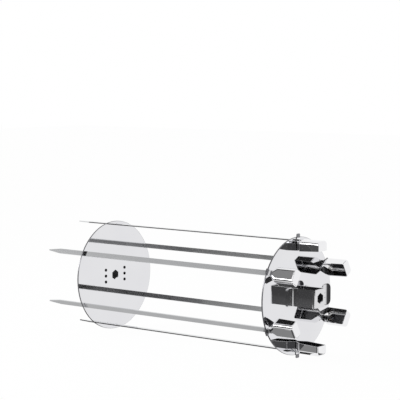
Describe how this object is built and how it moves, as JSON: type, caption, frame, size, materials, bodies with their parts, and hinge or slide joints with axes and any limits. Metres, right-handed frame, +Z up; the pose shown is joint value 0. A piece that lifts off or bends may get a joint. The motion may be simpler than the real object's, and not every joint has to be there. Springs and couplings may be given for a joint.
{
  "type": "rotisserie kebab wheel set",
  "caption": "Rotisserie kebab wheel set: slotted steel discs with clamp hubs for a hexagonal spit, carrying flat pointed skewers with folded handles parallel to it.",
  "frame": {"origin": "on the spit's centre line, at the outer face of the front disc (the one the handles stand on)", "axes": "+X along the spit from the rear disc towards the handles, +Z up through the first skewer, +Y across, away from the camera in the picture"},
  "size_m": [0.4398, 0.16, 0.1686],
  "materials": {
    "mirror_polished_stainless": "mirror-polished stainless sheet",
    "bright_rolled_stainless": "bright rolled stainless bar",
    "polished_stainless_fold": "polished stainless sheet, folded",
    "black_oxide_steel": "black oxide steel, oiled",
    "zinc_plated_steel": "bright zinc-plated steel"
  },
  "bodies": {
    "front_wheel": {"front_disc": "mirror_polished_stainless", "front_hub": "polished_stainless_fold", "front_weld_nut": "zinc_plated_steel", "front_hub_rivet_1": "black_oxide_steel", "front_hub_rivet_2": "black_oxide_steel", "front_hub_rivet_3": "black_oxide_steel", "front_hub_rivet_4": "black_oxide_steel", "front_hub_rivet_5": "black_oxide_steel", "front_hub_rivet_6": "black_oxide_steel"},
    "front_clamp_stud": {"front_screw_stud": "zinc_plated_steel"},
    "front_clamp_paddle": {"front_screw_paddle": "black_oxide_steel"},
    "rear_wheel": {"rear_disc": "mirror_polished_stainless", "rear_hub": "polished_stainless_fold", "rear_weld_nut": "zinc_plated_steel", "rear_hub_rivet_1": "black_oxide_steel", "rear_hub_rivet_2": "black_oxide_steel", "rear_hub_rivet_3": "black_oxide_steel", "rear_hub_rivet_4": "black_oxide_steel", "rear_hub_rivet_5": "black_oxide_steel", "rear_hub_rivet_6": "black_oxide_steel"},
    "rear_clamp_stud": {"rear_screw_stud": "zinc_plated_steel"},
    "rear_clamp_paddle": {"rear_screw_paddle": "black_oxide_steel"},
    "skewer_1": {"skewer_blade_1": "bright_rolled_stainless", "skewer_handle_1": "polished_stainless_fold"},
    "skewer_2": {"skewer_blade_2": "bright_rolled_stainless", "skewer_handle_2": "polished_stainless_fold"},
    "skewer_3": {"skewer_blade_3": "bright_rolled_stainless", "skewer_handle_3": "polished_stainless_fold"},
    "skewer_4": {"skewer_blade_4": "bright_rolled_stainless", "skewer_handle_4": "polished_stainless_fold"},
    "skewer_5": {"skewer_blade_5": "bright_rolled_stainless", "skewer_handle_5": "polished_stainless_fold"},
    "skewer_6": {"skewer_blade_6": "bright_rolled_stainless", "skewer_handle_6": "polished_stainless_fold"}
  },
  "joints": [
    {"name": "rear_wheel_slide", "type": "slide", "parent": "front_wheel", "child": "rear_wheel", "axis": [1, 0, 0], "range_m": [-0.04, 0.25]},
    {"name": "front_screw_advance", "type": "slide", "parent": "front_wheel", "child": "front_clamp_stud", "axis": [0, 1, 0], "range_m": [-0.00056, 0.00405]},
    {"name": "front_screw_turn", "type": "hinge", "parent": "front_clamp_stud", "child": "front_clamp_paddle", "pos_m": [0.022, 0.03, 0], "axis": [0, 1, 0], "range_deg": [-195, 1440]},
    {"name": "rear_screw_advance", "type": "slide", "parent": "rear_wheel", "child": "rear_clamp_stud", "axis": [0, -1, 0], "range_m": [-0.00056, 0.00405]},
    {"name": "rear_screw_turn", "type": "hinge", "parent": "rear_clamp_stud", "child": "rear_clamp_paddle", "pos_m": [-0.352, -0.03, 0], "axis": [0, -1, 0], "range_deg": [-195, 1440]},
    {"name": "skewer_1_slide", "type": "slide", "parent": "front_wheel", "child": "skewer_1", "axis": [1, 0, 0], "range_m": [0, 0.4]},
    {"name": "skewer_2_slide", "type": "slide", "parent": "front_wheel", "child": "skewer_2", "axis": [1, 0, 0], "range_m": [0, 0.4]},
    {"name": "skewer_3_slide", "type": "slide", "parent": "front_wheel", "child": "skewer_3", "axis": [1, 0, 0], "range_m": [0, 0.4]},
    {"name": "skewer_4_slide", "type": "slide", "parent": "front_wheel", "child": "skewer_4", "axis": [1, 0, 0], "range_m": [0, 0.4]},
    {"name": "skewer_5_slide", "type": "slide", "parent": "front_wheel", "child": "skewer_5", "axis": [1, 0, 0], "range_m": [0, 0.4]},
    {"name": "skewer_6_slide", "type": "slide", "parent": "front_wheel", "child": "skewer_6", "axis": [1, 0, 0], "range_m": [0, 0.4]}
  ],
  "couplings": [
    {"joint": "front_screw_advance", "follows": "front_screw_turn", "m_per_rad": 0.00015915},
    {"joint": "rear_screw_advance", "follows": "rear_screw_turn", "m_per_rad": 0.00015915}
  ]
}
